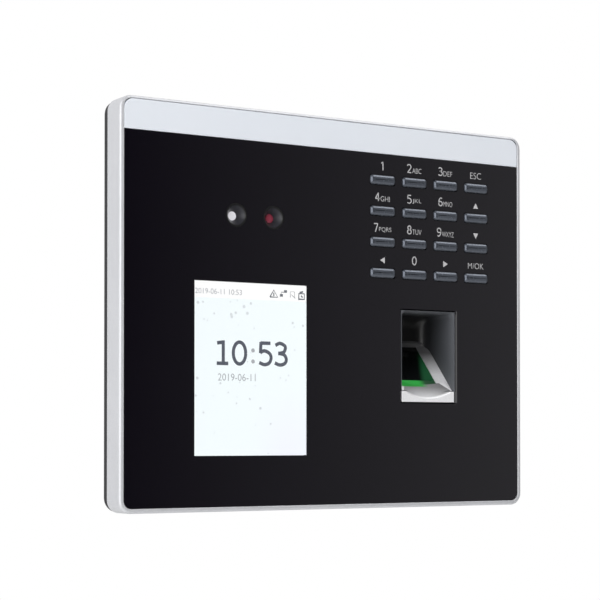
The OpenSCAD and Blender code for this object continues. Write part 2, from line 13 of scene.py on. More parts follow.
import bmesh
import bpy
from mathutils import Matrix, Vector

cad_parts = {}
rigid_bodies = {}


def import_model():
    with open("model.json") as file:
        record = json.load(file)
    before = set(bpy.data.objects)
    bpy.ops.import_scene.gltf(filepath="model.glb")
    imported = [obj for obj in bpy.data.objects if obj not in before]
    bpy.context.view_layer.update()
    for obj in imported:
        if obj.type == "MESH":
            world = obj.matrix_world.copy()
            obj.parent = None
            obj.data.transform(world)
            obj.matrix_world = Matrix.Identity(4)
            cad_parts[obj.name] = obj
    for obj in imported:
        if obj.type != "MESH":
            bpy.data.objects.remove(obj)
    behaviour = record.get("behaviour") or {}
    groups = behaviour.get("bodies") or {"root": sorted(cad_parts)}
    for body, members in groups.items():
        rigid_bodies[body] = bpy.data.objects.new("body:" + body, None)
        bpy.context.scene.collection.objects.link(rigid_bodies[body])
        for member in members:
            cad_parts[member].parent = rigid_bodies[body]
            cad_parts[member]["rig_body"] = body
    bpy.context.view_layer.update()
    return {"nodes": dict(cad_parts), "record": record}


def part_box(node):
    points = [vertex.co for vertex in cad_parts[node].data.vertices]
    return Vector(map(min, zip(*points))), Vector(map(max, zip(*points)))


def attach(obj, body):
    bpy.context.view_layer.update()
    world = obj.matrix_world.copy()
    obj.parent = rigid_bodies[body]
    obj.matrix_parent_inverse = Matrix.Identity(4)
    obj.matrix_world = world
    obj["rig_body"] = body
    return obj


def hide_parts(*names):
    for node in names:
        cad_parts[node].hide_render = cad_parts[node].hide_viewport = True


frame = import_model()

MM = 0.001
NODES = frame["nodes"]
SLOTS = {part["node"]: part["material_slot"] for part in frame["record"]["subparts"]}

# %% [markdown]
# ## Where things are
#
# Every size below comes from the boxes of the CAD parts. The front faces -Y, so a part's lowest y
# is its front. A small function turns the two corners of a box into named numbers.

# %% Sizes from the CAD parts
def corners(node):
    low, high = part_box(node)
    return low, high


FRAME_LOW, FRAME_HIGH = corners("front_frame")
FACE_Y = FRAME_LOW.y
MIDDLE = (FRAME_LOW + FRAME_HIGH) / 2
SCREEN_LOW, SCREEN_HIGH = corners("display_window")
print("front plane at", round(FACE_Y / MM, 2), "mm")
print("frame measures", [round(v / MM, 1) for v in FRAME_HIGH - FRAME_LOW], "mm")

# %% [markdown]
# ## Camera
#
# The terminal is seen from the left, a little from below, with a long lens from about 62 cm. Long
# lenses keep the far side nearly as tall as the near side. The view is shifted up by about a sixth of
# the picture, as a shift lens does, which keeps the upright edges upright.

# %% Camera
CAMERA_FROM_FRONT = Vector((-332.1, -516.1, -42.96)) * MM
CAMERA_TURN = math.radians(-31.66)
CAMERA_TILT = math.radians(91.03)
camera_data = bpy.data.cameras.new("camera")
camera_data.lens = 107.2
camera_data.sensor_width = 36.0
camera_data.shift_y = 0.176
camera = bpy.data.objects.new("camera", camera_data)
camera.location = Vector((MIDDLE.x, FACE_Y, MIDDLE.z)) + CAMERA_FROM_FRONT
camera.rotation_euler = (CAMERA_TILT, 0.0, CAMERA_TURN)
bpy.context.scene.collection.objects.link(camera)
bpy.context.scene.camera = camera
print("camera", [round(v, 3) for v in camera.location])

# %% [markdown]
# ## Colour and nodes
#
# Colours are written the way a colour chart gives them, as sRGB hex values. Shaders count light, so
# one function turns each value to linear. Another adds one node with its settings and its links.

# %% Helpers for materials
def linear(code):
    """A linear RGBA colour from an sRGB hex code such as '#c0c4c8'."""
    values = [int(code[i:i + 2], 16) / 255 for i in (1, 3, 5)]
    return tuple(v / 12.92 if v <= 0.04045 else ((v + 0.055) / 1.055) ** 2.4 for v in values) + (1.0,)


def add(tree, kind, settings=None, links=None):
    """Adds one node. Settings go to the input of that name or number, or else to the node itself.

    A link comes from an output, or from a node, which then gives its first output.
    """
    node = tree.nodes.new(kind)
    for key, value in (settings or {}).items():
        if isinstance(key, int) or key in node.inputs:
            node.inputs[key].default_value = value
        else:
            setattr(node, key, value)
    for key, source in (links or {}).items():
        tree.links.new(getattr(source, "outputs", [source])[0], node.inputs[key])
    return node


def new_material(name):
    """An empty material, its node tree, its Principled shader and the position of each point in metres."""
    material = bpy.data.materials.new(name)
    material.use_nodes = True
    tree = material.node_tree
    shader = tree.nodes["Principled BSDF"]
    place = add(tree, "ShaderNodeTexCoord").outputs["Object"]
    return material, tree, shader, place


def blend_colours(tree, factor, first, second):
    """A colour that goes from the first hex code to the second as factor goes from 0 to 1."""
    node = add(tree, "ShaderNodeMix", {"data_type": "RGBA", 6: linear(first), 7: linear(second)}, {0: factor})
    return node.outputs[2]


def remap(tree, value, low, high):
    """Stretches the middle half of a noise value to the range from low to high."""
    settings = {"From Min": 0.3, "From Max": 0.7, "To Min": low, "To Max": high}
    return add(tree, "ShaderNodeMapRange", settings, {"Value": value}).outputs["Result"]


def colour_so_far(shader):
    return shader.inputs["Base Color"].links[0].from_socket


def raise_grain(tree, shader, height, depth_mm, strength=1.0):
    """Bump from a height between 0 and 1, as deep as depth_mm."""
    bump = add(tree, "ShaderNodeBump", {"Distance": depth_mm * MM, "Strength": strength}, {"Height": height})
    tree.links.new(bump.outputs["Normal"], shader.inputs["Normal"])


def grained(name, colours, grain_mm, roughness, depth_mm=0.0, cloud_mm=18.0, **constants):
    """The base of most finishes: a fine grain for bump and gloss, and slow clouds between two colours."""
    material, tree, shader, place = new_material(name)
    fine = add(tree, "ShaderNodeTexNoise", {"Scale": 1 / (grain_mm * MM), "Detail": 3.0}, {"Vector": place})
    slow = add(tree, "ShaderNodeTexNoise", {"Scale": 1 / (cloud_mm * MM), "Detail": 4.0}, {"Vector": place})
    colour = blend_colours(tree, remap(tree, slow, 0.0, 1.0), *colours)
    tree.links.new(colour, shader.inputs["Base Color"])
    tree.links.new(remap(tree, fine, *roughness), shader.inputs["Roughness"])
    if depth_mm:
        raise_grain(tree, shader, fine, depth_mm)
    for socket, value in constants.items():
        shader.inputs[socket.replace("_", " ")].default_value = value
    return material, tree, shader, place


FINISH = {}
print("red of a mid grey in linear light:", round(linear("#808080")[0], 3))

# %% [markdown]
# ## Silver-painted ABS
#
# The frame is moulded in ABS plastic and sprayed with a silver paint. The paint is a clear binder
# full of tiny aluminium flakes, so it is partly metallic and satin: it has no grain that runs one
# way, but each flake tilts a little and the surface sparkles faintly. Real flakes are 0.02 to
# 0.05 mm across. Here they are drawn at 0.25 mm so that they still show.
#
# The finger rest has the same paint, only whiter. Painted shade makes it greyer up the
# slope and in the hollow between the green bar and the lip. A painted green glow from the bar lies on a strip
# below it.

# %% Silver paint
FLAKE = 0.25 * MM


def silver_paint(name, colours, metallic, roughness, depth_mm=0.004):
    material, tree, shader, place = grained(
        name, colours, grain_mm=0.9, roughness=roughness, depth_mm=depth_mm, cloud_mm=25.0,
        Metallic=metallic, Coat_Weight=0.2, Coat_Roughness=0.3)
    flakes = add(tree, "ShaderNodeTexVoronoi", {"Scale": 1 / FLAKE}, {"Vector": place})
    base = colour_so_far(shader)
    tilt = add(tree, "ShaderNodeSeparateColor", {}, {"Color": flakes.outputs["Color"]}).outputs["Red"]
    tone = add(tree, "ShaderNodeMapRange", {"To Min": 0.96, "To Max": 1.04}, {"Value": tilt})
    sparkle = add(tree, "ShaderNodeVectorMath", {"operation": "SCALE"}, {0: base, "Scale": tone})
    tree.links.new(sparkle.outputs["Vector"], shader.inputs["Base Color"])
    return material


FINISH["silver_paint"] = silver_paint("satin_silver_painted_ABS", ("#cfd0d4", "#d5d6da"), 0.4, (0.46, 0.52))
print("frame paint ready")

# %% Paint of the finger rest
# Painted shade on the rails begins this far below the top of the slope and is full this far below it.
UNSHADED_BELOW_TOP = 12.4 * MM
SHADED_BELOW_TOP = 4.3 * MM
GLASS_HALF_W = 7.5 * MM
GLASS_FOOT_ABOVE_BAR = 1.6 * MM
HOLLOW_H = 3.0 * MM
bar_low, bar_high = corners("sensor_light_bar")
slope_low, slope_high = corners("finger_rest")


def slope_shade(tree, x, y, z):
    """Painted shade on the paint. The rails darken upwards and the hollow darkens towards the bar and the
    right, and the front of the lip keeps the plain paint."""
    # Painted shade: the rails go from light to dark grey up the slope.
    shade_up_slope = add(tree, "ShaderNodeMapRange", {"From Min": slope_high.z - UNSHADED_BELOW_TOP,
                                            "From Max": slope_high.z - SHADED_BELOW_TOP}, {"Value": z})
    rail = blend_colours(tree, shade_up_slope, "#f4f4f5", "#676768")
    # Painted shade: the hollow below the bar is darker near the bar and towards the right.
    under_bar = add(tree, "ShaderNodeMapRange", {"From Min": bar_low.z, "From Max": bar_low.z - HOLLOW_H},
                    {"Value": z})
    hollow = blend_colours(tree, under_bar, "#9c9c9d", "#d6d6d7")
    middle = (slope_low.x + slope_high.x) / 2
    to_right = add(tree, "ShaderNodeMapRange", {"From Min": middle - 4.0 * MM, "From Max": middle + 8.0 * MM,
                                                "To Min": 1.0, "To Max": 0.5}, {"Value": x})
    hollow = add(tree, "ShaderNodeVectorMath", {"operation": "SCALE"}, {0: hollow, "Scale": to_right})
    centred = add(tree, "ShaderNodeMath", {"operation": "SUBTRACT", 1: middle}, {0: x})
    aside = add(tree, "ShaderNodeMath", {"operation": "ABSOLUTE"}, {0: centred})
    rise = add(tree, "ShaderNodeMath", {"operation": "ADD"}, {0: aside, 1: z})
    corner = bar_low.z + GLASS_FOOT_ABOVE_BAR + GLASS_HALF_W
    in_hollow = add(tree, "ShaderNodeMapRange",
                    {"From Min": corner + 0.2 * MM, "From Max": corner - 0.2 * MM}, {"Value": rise})
    slope = add(tree, "ShaderNodeMix", {"data_type": "RGBA"}, {0: in_hollow, 6: rail, 7: hollow})
    lip = add(tree, "ShaderNodeMapRange",
              {"From Min": slope_low.y + 0.7 * MM, "From Max": slope_low.y + 0.2 * MM}, {"Value": y})
    return add(tree, "ShaderNodeMix", {"data_type": "RGBA", 7: (1.0, 1.0, 1.0, 1.0)},
               {0: lip, 6: slope.outputs[2]}).outputs[2]


def rest_paint():
    """Silver paint with painted shade, and a painted green glow from the bar on the strip below it."""
    material = silver_paint("silver_painted_finger_rest", ("#f3f3f5", "#f9f9fb"), 0.15, (0.32, 0.40))
    tree = material.node_tree
    shader = tree.nodes["Principled BSDF"]
    at = add(tree, "ShaderNodeSeparateXYZ", {}, {"Vector": add(tree, "ShaderNodeTexCoord").outputs["Object"]})
    paint = add(tree, "ShaderNodeVectorMath", {"operation": "MULTIPLY"},
                {0: colour_so_far(shader),
                 1: slope_shade(tree, *[at.outputs[axis] for axis in "XYZ"])})
    # Painted glow: the bar's green light is painted on the strip below it as colour and emission.
    lit = add(tree, "ShaderNodeMath", {"operation": "LESS_THAN", 1: bar_high.z}, {0: at.outputs["Z"]})
    for axis, start, end in (("Z", bar_low.z + 0.05 * MM, bar_low.z + 0.35 * MM),
                             ("X", bar_low.x - 4.5 * MM, bar_low.x - 3.5 * MM),
                             ("X", bar_high.x - 4.5 * MM, bar_high.x - 7.0 * MM)):
        edge = add(tree, "ShaderNodeMapRange", {"From Min": start, "From Max": end},
                   {"Value": at.outputs[axis]})
        lit = add(tree, "ShaderNodeMath", {"operation": "MULTIPLY"}, {0: lit, 1: edge})
    green = add(tree, "ShaderNodeMix", {"data_type": "RGBA", 7: linear("#0a5a1c")}, {0: lit, 6: paint})
    tree.links.new(green.outputs[2], shader.inputs["Base Color"])
    tree.links.new(blend_colours(tree, lit, "#000000", "#129a30"), shader.inputs["Emission Color"])
    shader.inputs["Emission Strength"].default_value = 0.6
    return material


FINISH["rest_silver"] = rest_paint()
print("finger rest paint ready")

# %% [markdown]
# ## The light band
#
# The strip across the top is a separate moulding in a light silver, smoother than the frame and with
# a clear lacquer, so it is paler and its gloss is sharper.

# %% Lacquered band
FINISH["band_silver"] = grained(
    "lacquered_light_silver_ABS", ("#f0f5fd", "#f3f7fe"), grain_mm=1.4, roughness=(0.30, 0.31),
    cloud_mm=60.0, Metallic=0.1, Coat_Weight=0.3, Coat_Roughness=0.12)[0]
print("band ready")

# %% [markdown]
# ## Black acrylic front
#
# The front is a sheet of acrylic printed black on its back. Acrylic has an IOR of 1.49 and is very
# smooth, so almost all that the eye gets from it is the reflection of the room. Two things make it
# look real: the faint waviness of a moulded sheet, and a trace of fine dust and wiping marks.

# %% Black acrylic
def black_acrylic():
    material, tree, shader, place = grained(
        "gloss_black_acrylic", ("#0b0810", "#0d0a12"), grain_mm=6.0, roughness=(0.05, 0.09),
        cloud_mm=60.0, IOR=1.49, Specular_IOR_Level=0.42)
    waves = add(tree, "ShaderNodeTexNoise", {"Scale": 1 / (22 * MM), "Detail": 1.0}, {"Vector": place})
    raise_grain(tree, shader, waves, 0.02, 0.35)
    return material


FINISH["black_gloss"] = black_acrylic()
print("acrylic ready")

# %% [markdown]
# ## Moulded plastics
#
# The rear cover has the fine matt texture that spark erosion leaves in a mould: pits about a quarter
# of a millimetre wide and a fiftieth deep, which scatter the light so that the black looks soft. The
# walls of the finger recess are smoother. Their colour is painted shade: dark grey at the mouth,
# going to black at the far end. Small inner mouldings are plain matt black.

# %% Moulded plastics
FINISH["black_abs"] = grained(
    "spark_textured_black_ABS", ("#1d1d20", "#252528"), grain_mm=0.28, roughness=(0.50, 0.62),
    depth_mm=0.02)[0]


def recess_plastic():
    material, tree, shader, place = grained(
        "satin_dark_grey_ABS", ("#525459", "#595b60"), grain_mm=0.5, roughness=(0.34, 0.44), depth_mm=0.003)
    mouth_y = corners("finger_well")[0].y
    at = add(tree, "ShaderNodeSeparateXYZ", {}, {"Vector": place})
    # Painted shade: the walls darken from the mouth of the recess to black at its far end.
    depth = add(tree, "ShaderNodeMapRange", {"From Min": mouth_y + 2.0 * MM, "From Max": mouth_y + 17.5 * MM},
                {"Value": at.outputs["Y"]})
    black = add(tree, "ShaderNodeMix", {"data_type": "RGBA", 7: linear("#050506")},
                {0: depth, 6: colour_so_far(shader)})
    tree.links.new(black.outputs[2], shader.inputs["Base Color"])
    return material


FINISH["dark_well"] = recess_plastic()


def lens_funnel():
    """Dark grey inside the cone. The rim beside the front sheet is black like the sheet."""
    material, tree, shader, place = grained(
        "satin_grey_lens_funnel", ("#1b1b1f", "#222226"), grain_mm=0.4, roughness=(0.32, 0.40),
        depth_mm=0.003)
    rim_y = corners("lens_bezel")[0].y
    at = add(tree, "ShaderNodeSeparateXYZ", {}, {"Vector": place})
    inside = add(tree, "ShaderNodeMapRange", {"From Min": rim_y + 0.1 * MM, "From Max": rim_y + 0.7 * MM},
                 {"Value": at.outputs["Y"]})
    tree.links.new(blend_colours(tree, inside, "#09090b", "#313137"), shader.inputs["Base Color"])
    return material


FINISH["funnel_grey"] = lens_funnel()
SMALL_PLASTICS = {
    "black_inner": ("matt_black_nylon", ("#151517", "#1b1b1e"), 0.4, (0.45, 0.6), 0.008, 18.0),
    "green_terminal": ("green_nylon", ("#2a8149", "#319253"), 0.5, (0.38, 0.48), 0.006, 18.0),
    "relay_blue": ("blue_polyester", ("#245490", "#2d62a3"), 0.5, (0.3, 0.4), 0.006, 18.0),
    "plunger_white": ("white_acetal", ("#e2e2df", "#ececea"), 0.6, (0.3, 0.38), 0.004, 18.0),
    "chip_epoxy": ("moulded_epoxy", ("#202125", "#2a2b2f"), 0.2, (0.55, 0.7), 0.01, 6.0)}
for slot, values in SMALL_PLASTICS.items():
    FINISH[slot] = grained(*values)[0]
print("mouldings ready")

# %% [markdown]
# ## Key caps
#
# The keys are moulded in ABS and sprayed a slate grey with a little metal in it. The paint is
# smoother than on the frame, so a rounded edge turned to the light shows a soft bright line.
# The grain is too fine to feel, so its bump is under a thousandth of a millimetre.

# %% Key paint
FINISH["key_grey"] = silver_paint(
    "slate_metallic_painted_ABS", ("#555a64", "#5b606a"), 0.6, (0.24, 0.28), depth_mm=0.0008)
print("key paint ready")

# %% [markdown]
# ## Glass, lenses and light
#
# The window over the display is clear acrylic. The camera lens is dark red glass with a coated
# front. The fill light is a milky light pipe. The prism is clear glass, but it is seen against a
# black housing. The green light fed in at its lower edge is painted on the glass as a glow that fades as it
# crosses it.

# %% Clear window
def clear_window():
    material, tree, shader, place = new_material("clear_acrylic_window")
    smears = add(tree, "ShaderNodeTexNoise", {"Scale": 1 / (9 * MM), "Detail": 2.0}, {"Vector": place})
    tree.links.new(remap(tree, smears, 0.0, 0.03), shader.inputs["Roughness"])
    shader.inputs["Base Color"].default_value = (1.0, 1.0, 1.0, 1.0)
    shader.inputs["Transmission Weight"].default_value = 1.0
    shader.inputs["IOR"].default_value = 1.49
    return material


FINISH["clear_window"] = clear_window()

# %% Lens, light pipe and light bar
def glowing(material_parts, colour, strength):
    """Gives a finish a light of its own, of one colour."""
    material, tree, shader = material_parts[:3]
    shader.inputs["Emission Color"].default_value = linear(colour)
    shader.inputs["Emission Strength"].default_value = strength
    return material


FINISH["lens_glass"] = grained(
    "red_coated_lens_glass", ("#a8384f", "#bd4a62"), grain_mm=0.8, roughness=(0.30, 0.36),
    cloud_mm=1.5, Coat_Weight=0.3, Coat_Roughness=0.35, IOR=1.52)[0]
light_pipe = grained(
    "milky_light_pipe", ("#c2c1c5", "#cccbcf"), grain_mm=0.5, roughness=(0.25, 0.35), cloud_mm=1.5)
FINISH["diffuser"] = glowing(light_pipe, "#dcdbe0", 0.62)
FINISH["led_yellow"] = grained(
    "phosphor_resin", ("#e6dc8c", "#f0e8a4"), grain_mm=0.2, roughness=(0.4, 0.5), cloud_mm=1.0)[0]


def light_bar():
    """Green light from a lamp at the left end of the bar. It fades to dark glass on the right."""
    parts = grained(
        "green_lit_diffuser", ("#08481a", "#0b521e"), grain_mm=0.4, roughness=(0.3, 0.4), cloud_mm=2.0)
    material = glowing(parts, "#1c9634", 0.85)
    tree, shader, place = parts[1:]
    at = add(tree, "ShaderNodeSeparateXYZ", {}, {"Vector": place})
    fade = add(tree, "ShaderNodeMapRange",
               {"From Min": bar_high.x - 8.0 * MM, "From Max": bar_high.x - 4.0 * MM,
                "interpolation_type": "SMOOTHSTEP"}, {"Value": at.outputs["X"]})
    tree.links.new(blend_colours(tree, fade, "#1c9634", "#0c3a1c"), shader.inputs["Emission Color"])
    dark = add(tree, "ShaderNodeMix", {"data_type": "RGBA", 7: linear("#1c3024")},
               {0: fade, 6: colour_so_far(shader)})
    tree.links.new(dark.outputs[2], shader.inputs["Base Color"])
    return material


FINISH["green_light"] = light_bar()
print("lenses and lights ready")

# %% Prism glass with the glow of the light bar
GLOW_SLANT = 0.5


def prism_glass():
    """The painted glow of the bar's light lies along the right-hand side of the glass. Its edge leans to the
    left on the way down.
    """
    material, tree, shader, place = grained(
        "dark_backed_optical_glass", ("#050708", "#070a0a"), grain_mm=2.0, roughness=(0.05, 0.08), IOR=1.52)
    low, high = corners("sensor_prism")
    at = add(tree, "ShaderNodeSeparateXYZ", {}, {"Vector": place})
    # Painted glow: emission near the bar and on the right stands for the bar's light in the glass.
    near_bar = add(tree, "ShaderNodeMapRange",
                   {"From Min": high.z, "From Max": low.z + 3.5 * MM, "interpolation_type": "SMOOTHSTEP"},
                   {"Value": at.outputs["Z"]})
    slant = add(tree, "ShaderNodeMath", {"operation": "MULTIPLY_ADD", 1: -GLOW_SLANT},
                {0: at.outputs["Z"], 2: at.outputs["X"]})
    edge = high.x - GLOW_SLANT * high.z
    to_right = add(tree, "ShaderNodeMapRange",
                   {"From Min": edge - 0.5 * MM, "From Max": edge + 2.5 * MM,
                    "interpolation_type": "SMOOTHSTEP"}, {"Value": slant})
    glow = add(tree, "ShaderNodeMath", {"operation": "MULTIPLY"}, {0: near_bar, 1: to_right})
    tree.links.new(blend_colours(tree, glow, "#000000", "#22603a"), shader.inputs["Emission Color"])
    shader.inputs["Emission Strength"].default_value = 0.5
    return material


FINISH["prism_glass"] = prism_glass()
print("prism ready")

# %% [markdown]
# ## The lit display
#
# A liquid-crystal picture is a bright sheet behind small square dots. The wallpaper is a cold white
# with a faint lavender corner and a scatter of pale specks, and a pure white bar runs along its top.
# The picture is 240 dots wide, so one dot is 0.18 mm. The dark grid between the dots is drawn very
# faintly, because from this distance the eye only just finds it.

# %% Display picture
STATUS_LINE_Z = SCREEN_HIGH.z - 5.45 * MM
DOT = (SCREEN_HIGH.x - SCREEN_LOW.x) / 240
SPECK = 2.5 * MM


def display_picture():
    material, tree, shader, place = new_material("lit_display")
    at = add(tree, "ShaderNodeSeparateXYZ", {}, {"Vector": place})
    lower = add(tree, "ShaderNodeMapRange",
                {"From Min": SCREEN_HIGH.z - 30 * MM, "From Max": SCREEN_LOW.z,
                 "interpolation_type": "SMOOTHSTEP"}, {"Value": at.outputs["Z"]})
    right = add(tree, "ShaderNodeMapRange",
                {"From Min": SCREEN_LOW.x + 18 * MM, "From Max": SCREEN_HIGH.x - 6 * MM,
                 "interpolation_type": "SMOOTHSTEP"}, {"Value": at.outputs["X"]})
    corner = add(tree, "ShaderNodeMath", {"operation": "MULTIPLY"}, {0: lower, 1: right})
    paper = blend_colours(tree, corner, "#f4fcfe", "#f3f6fe")
    specks = add(tree, "ShaderNodeTexVoronoi", {"Scale": 1 / SPECK}, {"Vector": place})
    patches = add(tree, "ShaderNodeTexNoise", {"Scale": 1 / (13 * MM), "Detail": 1.0}, {"Vector": place})
    speck_size = remap(tree, patches, -0.14, 0.24)
    speck = add(tree, "ShaderNodeMath", {"operation": "LESS_THAN"},
                {0: specks.outputs["Distance"], 1: speck_size})
    faint = add(tree, "ShaderNodeMath", {"operation": "MULTIPLY", 1: 0.5}, {0: speck})
    speckled = add(tree, "ShaderNodeMix", {"data_type": "RGBA", 7: linear("#b9bcc2")},
                   {0: faint, 6: paper})
    above = add(tree, "ShaderNodeMath", {"operation": "GREATER_THAN", 1: STATUS_LINE_Z},
                {0: at.outputs["Z"]})
    picture = add(tree, "ShaderNodeMix", {"data_type": "RGBA", 7: linear("#fefefe")},
                  {0: above, 6: speckled.outputs[2]})
    flat = add(tree, "ShaderNodeCombineXYZ", {}, {"X": at.outputs["X"], "Y": at.outputs["Z"]})
    grid = add(tree, "ShaderNodeTexBrick",
               {"offset": 0.0, "squash": 1.0, "Scale": 1.0, "Brick Width": DOT, "Row Height": DOT,
                "Mortar Size": 0.08 * DOT, "Color1": linear("#ffffff"), "Color2": linear("#ffffff"),
                "Mortar": (0.93, 0.93, 0.93, 1.0)}, {"Vector": flat})
    lit = add(tree, "ShaderNodeMix", {"data_type": "RGBA", "blend_type": "MULTIPLY", 0: 1.0},
              {6: picture.outputs[2], 7: grid.outputs["Color"]})
    tree.links.new(lit.outputs[2], shader.inputs["Emission Color"])
    shader.inputs["Emission Strength"].default_value = 1.09
    shader.inputs["Base Color"].default_value = linear("#101114")
    shader.inputs["Roughness"].default_value = 0.25
    return material


FINISH["lcd_glass"] = display_picture()
print("display ready, one dot is", round(DOT / MM, 3), "mm")

# %% [markdown]
# ## Metals
#
# Zinc-plated sheet steel shows soft grey spangles a few millimetres wide. Tin-plated shields are
# brighter and were rolled, so fine lines run along them. Nickel-plated screws are bright, and
# blackened ones keep an oily dark gloss.

# %% Metals
def sheet_metal(name, colours, roughness, grain_mm, stretch=(1.0, 1.0, 1.0)):
    """A plated metal. A grain that is stretched along one axis gives the lines of rolling."""
    material, tree, shader, place = grained(name, colours, grain_mm, roughness, depth_mm=0.003, Metallic=1.0)
    rolled = add(tree, "ShaderNodeMapping", {"Scale": stretch}, {"Vector": place})
    for node in tree.nodes:
        if node.type == "TEX_NOISE":
            tree.links.new(rolled.outputs["Vector"], node.inputs["Vector"])
    return material


def zinc_plate():
    material, tree, shader, place = grained(
        "zinc_plated_sheet_steel", ("#a6a9ac", "#b4b6b8"), grain_mm=0.3, roughness=(0.34, 0.44),
        depth_mm=0.004, Metallic=1.0)
    spangle = add(tree, "ShaderNodeTexVoronoi", {"Scale": 1 / (3.5 * MM)}, {"Vector": place})
    tone = add(tree, "ShaderNodeSeparateColor", {}, {"Color": spangle.outputs["Color"]}).outputs["Red"]
    tree.links.new(blend_colours(tree, tone, "#a0a3a6", "#babcbe"), shader.inputs["Base Color"])
    return material


FINISH["zinc_steel"] = zinc_plate()
FINISH["tin_plate"] = sheet_metal(
    "tin_plated_shield", ("#c2c3c4", "#d0d1d1"), (0.22, 0.32), 0.35, stretch=(1.0, 1.0, 0.08))
FINISH["steel_screw"] = sheet_metal("nickel_plated_steel", ("#b9bbbd", "#c8c9ca"), (0.15, 0.25), 0.3)
FINISH["cell_steel"] = sheet_metal("nickel_plated_cell", ("#c0c1c2", "#cecfd0"), (0.2, 0.3), 0.3)
FINISH["black_screw"] = sheet_metal("black_oxide_steel", ("#232326", "#2e2e31"), (0.3, 0.42), 0.25)
print("metals ready")

# %% [markdown]
# ## Boards, cables and rubber
#
# A circuit board is glass cloth and resin under a green lacquer. Copper tracks under the lacquer show
# as slightly lighter, raised lines about half a millimetre wide. The flat cables are ribbed films,
# and the key mat is grey silicone.

# %% Circuit board
def circuit_board():
    material, tree, shader, place = grained(
        "green_masked_glass_epoxy", ("#164a2d", "#1b5635"), grain_mm=0.3, roughness=(0.25, 0.35),
        depth_mm=0.004)
    at = add(tree, "ShaderNodeSeparateXYZ", {}, {"Vector": place})
    flat = add(tree, "ShaderNodeCombineXYZ", {}, {"X": at.outputs["X"], "Y": at.outputs["Z"]})
    tracks = add(tree, "ShaderNodeTexBrick",
                 {"Scale": 1.0, "Brick Width": 7 * MM, "Row Height": 1.2 * MM, "Mortar Size": 0.25 * MM,
                  "Color1": linear("#164a2d"), "Color2": linear("#1a5433"), "Mortar": linear("#2b7a4a")},
                 {"Vector": flat})
    tree.links.new(tracks.outputs["Color"], shader.inputs["Base Color"])
    raise_grain(tree, shader, tracks.outputs["Fac"], 0.035)
    return material


FINISH["circuit_board"] = circuit_board()


# %% Ribbed films, tape and silicone
BANDS_PER_UNIT = 0.314


def ribbed_film(name, colours, pitch_mm):
    """A flat cable: straight conductors show through the film as low ribs."""
    material, tree, shader, place = grained(name, colours, 0.5, (0.25, 0.35))
    ribs = add(tree, "ShaderNodeTexWave", {"Scale": BANDS_PER_UNIT / (pitch_mm * MM), "bands_direction": "X"},
               {"Vector": place})
    raise_grain(tree, shader, ribs.outputs["Fac"], 0.05)
    return material


FINISH["flat_cable"] = ribbed_film("white_flat_cable", ("#d2d3d6", "#dedfe2"), 1.0)
FINISH["flex_copper"] = ribbed_film("amber_polyimide_film", ("#b06426", "#bf722f"), 0.8)
FINISH["silicone"] = grained("grey_silicone", ("#85878c", "#8f9196"), 0.6, (0.5, 0.6), depth_mm=0.01)[0]
FINISH["foam_tape"] = grained("black_foam_tape", ("#232326", "#2c2c2f"), 0.35, (0.75, 0.9), depth_mm=0.05)[0]
print(len(FINISH), "finishes")

# %% [markdown]
# ## Building shapes from outlines
#
# Most soft-edged parts here are one outline, a rectangle with round corners, repeated at several
# depths and sizes and joined with strips of faces. That is a loft. It gives clean quads all round
# the part, and the edge radius is just a few loops along a quarter circle.

# %% Outlines and lofts
def round_outline(x0, z0, x1, z1, radius, y, steps=8):
    """A rectangle with round corners at depth y, anticlockwise as seen from the front."""
    points = []
    turns = ((x1 - radius, z0 + radius, -90), (x1 - radius, z1 - radius, 0),
             (x0 + radius, z1 - radius, 90), (x0 + radius, z0 + radius, 180))
    for cx, cz, start in turns:
        for step in range(steps + 1):
            angle = math.radians(start + 90 * step / steps)
            points.append(Vector((cx + radius * math.cos(angle), y, cz + radius * math.sin(angle))))
    return points


def add_loft(bm, loops, ring=False, cap_start=False, cap_end=False):
    """Joins loops of the same length with quads. A ring joins the last loop to the first."""
    rows = [[bm.verts.new(point) for point in loop] for loop in loops]
    pairs = list(zip(rows, rows[1:]))
    if ring:
        pairs.append((rows[-1], rows[0]))
    for row, after in pairs:
        for i in range(len(row)):
            j = (i + 1) % len(row)
            bm.faces.new((row[i], row[j], after[j], after[i]))
    if cap_start:
        bm.faces.new(rows[0])
    if cap_end:
        bm.faces.new(rows[-1])


def finish_piece(name, bm, slot, body, nodes=(), smooth_angle=32.0, finish=None):
    """Turns a bmesh into a piece with its finish, which rides on a body and stands for CAD nodes.

    Weighted normals keep the large flat faces evenly lit, right up to their rounded edges.
    """
    bmesh.ops.recalc_face_normals(bm, faces=bm.faces)
    mesh = bpy.data.meshes.new(name)
    bm.to_mesh(mesh)
    bm.free()
    if "custom_normal" in mesh.attributes:
        mesh.attributes.remove(mesh.attributes["custom_normal"])
    mesh.shade_smooth()
    mesh.set_sharp_from_angle(angle=math.radians(smooth_angle))
    mesh.materials.append(FINISH[finish or slot])
    piece = bpy.data.objects.new(name, mesh)
    bpy.context.scene.collection.objects.link(piece)
    weighted = piece.modifiers.new("weighted_normals", "WEIGHTED_NORMAL")
    weighted.keep_sharp = True
    weighted.weight = 100
    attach(piece, body)
    if nodes:
        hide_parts(*nodes)
    return piece


def quarter(radius, steps):
    """Points of a quarter circle as (inset, drop): from the side of an edge round to its front."""
    turns = [math.radians(90 * step / steps) for step in range(steps + 1)]
    return [(radius - radius * math.cos(turn), radius - radius * math.sin(turn)) for turn in turns]


print("outline with", len(round_outline(0, 0, 1, 1, 0.1, 0)), "points")

# %% [markdown]
# ## The silver frame
#
# The frame's look is in its edges. A 0.9 mm radius runs round the front and catches the light as one
# bright line, and the rear edge has a narrow chamfer where it meets the dark cover. The rim is
# narrower above the band than elsewhere, so the inner loops reach a little further up.

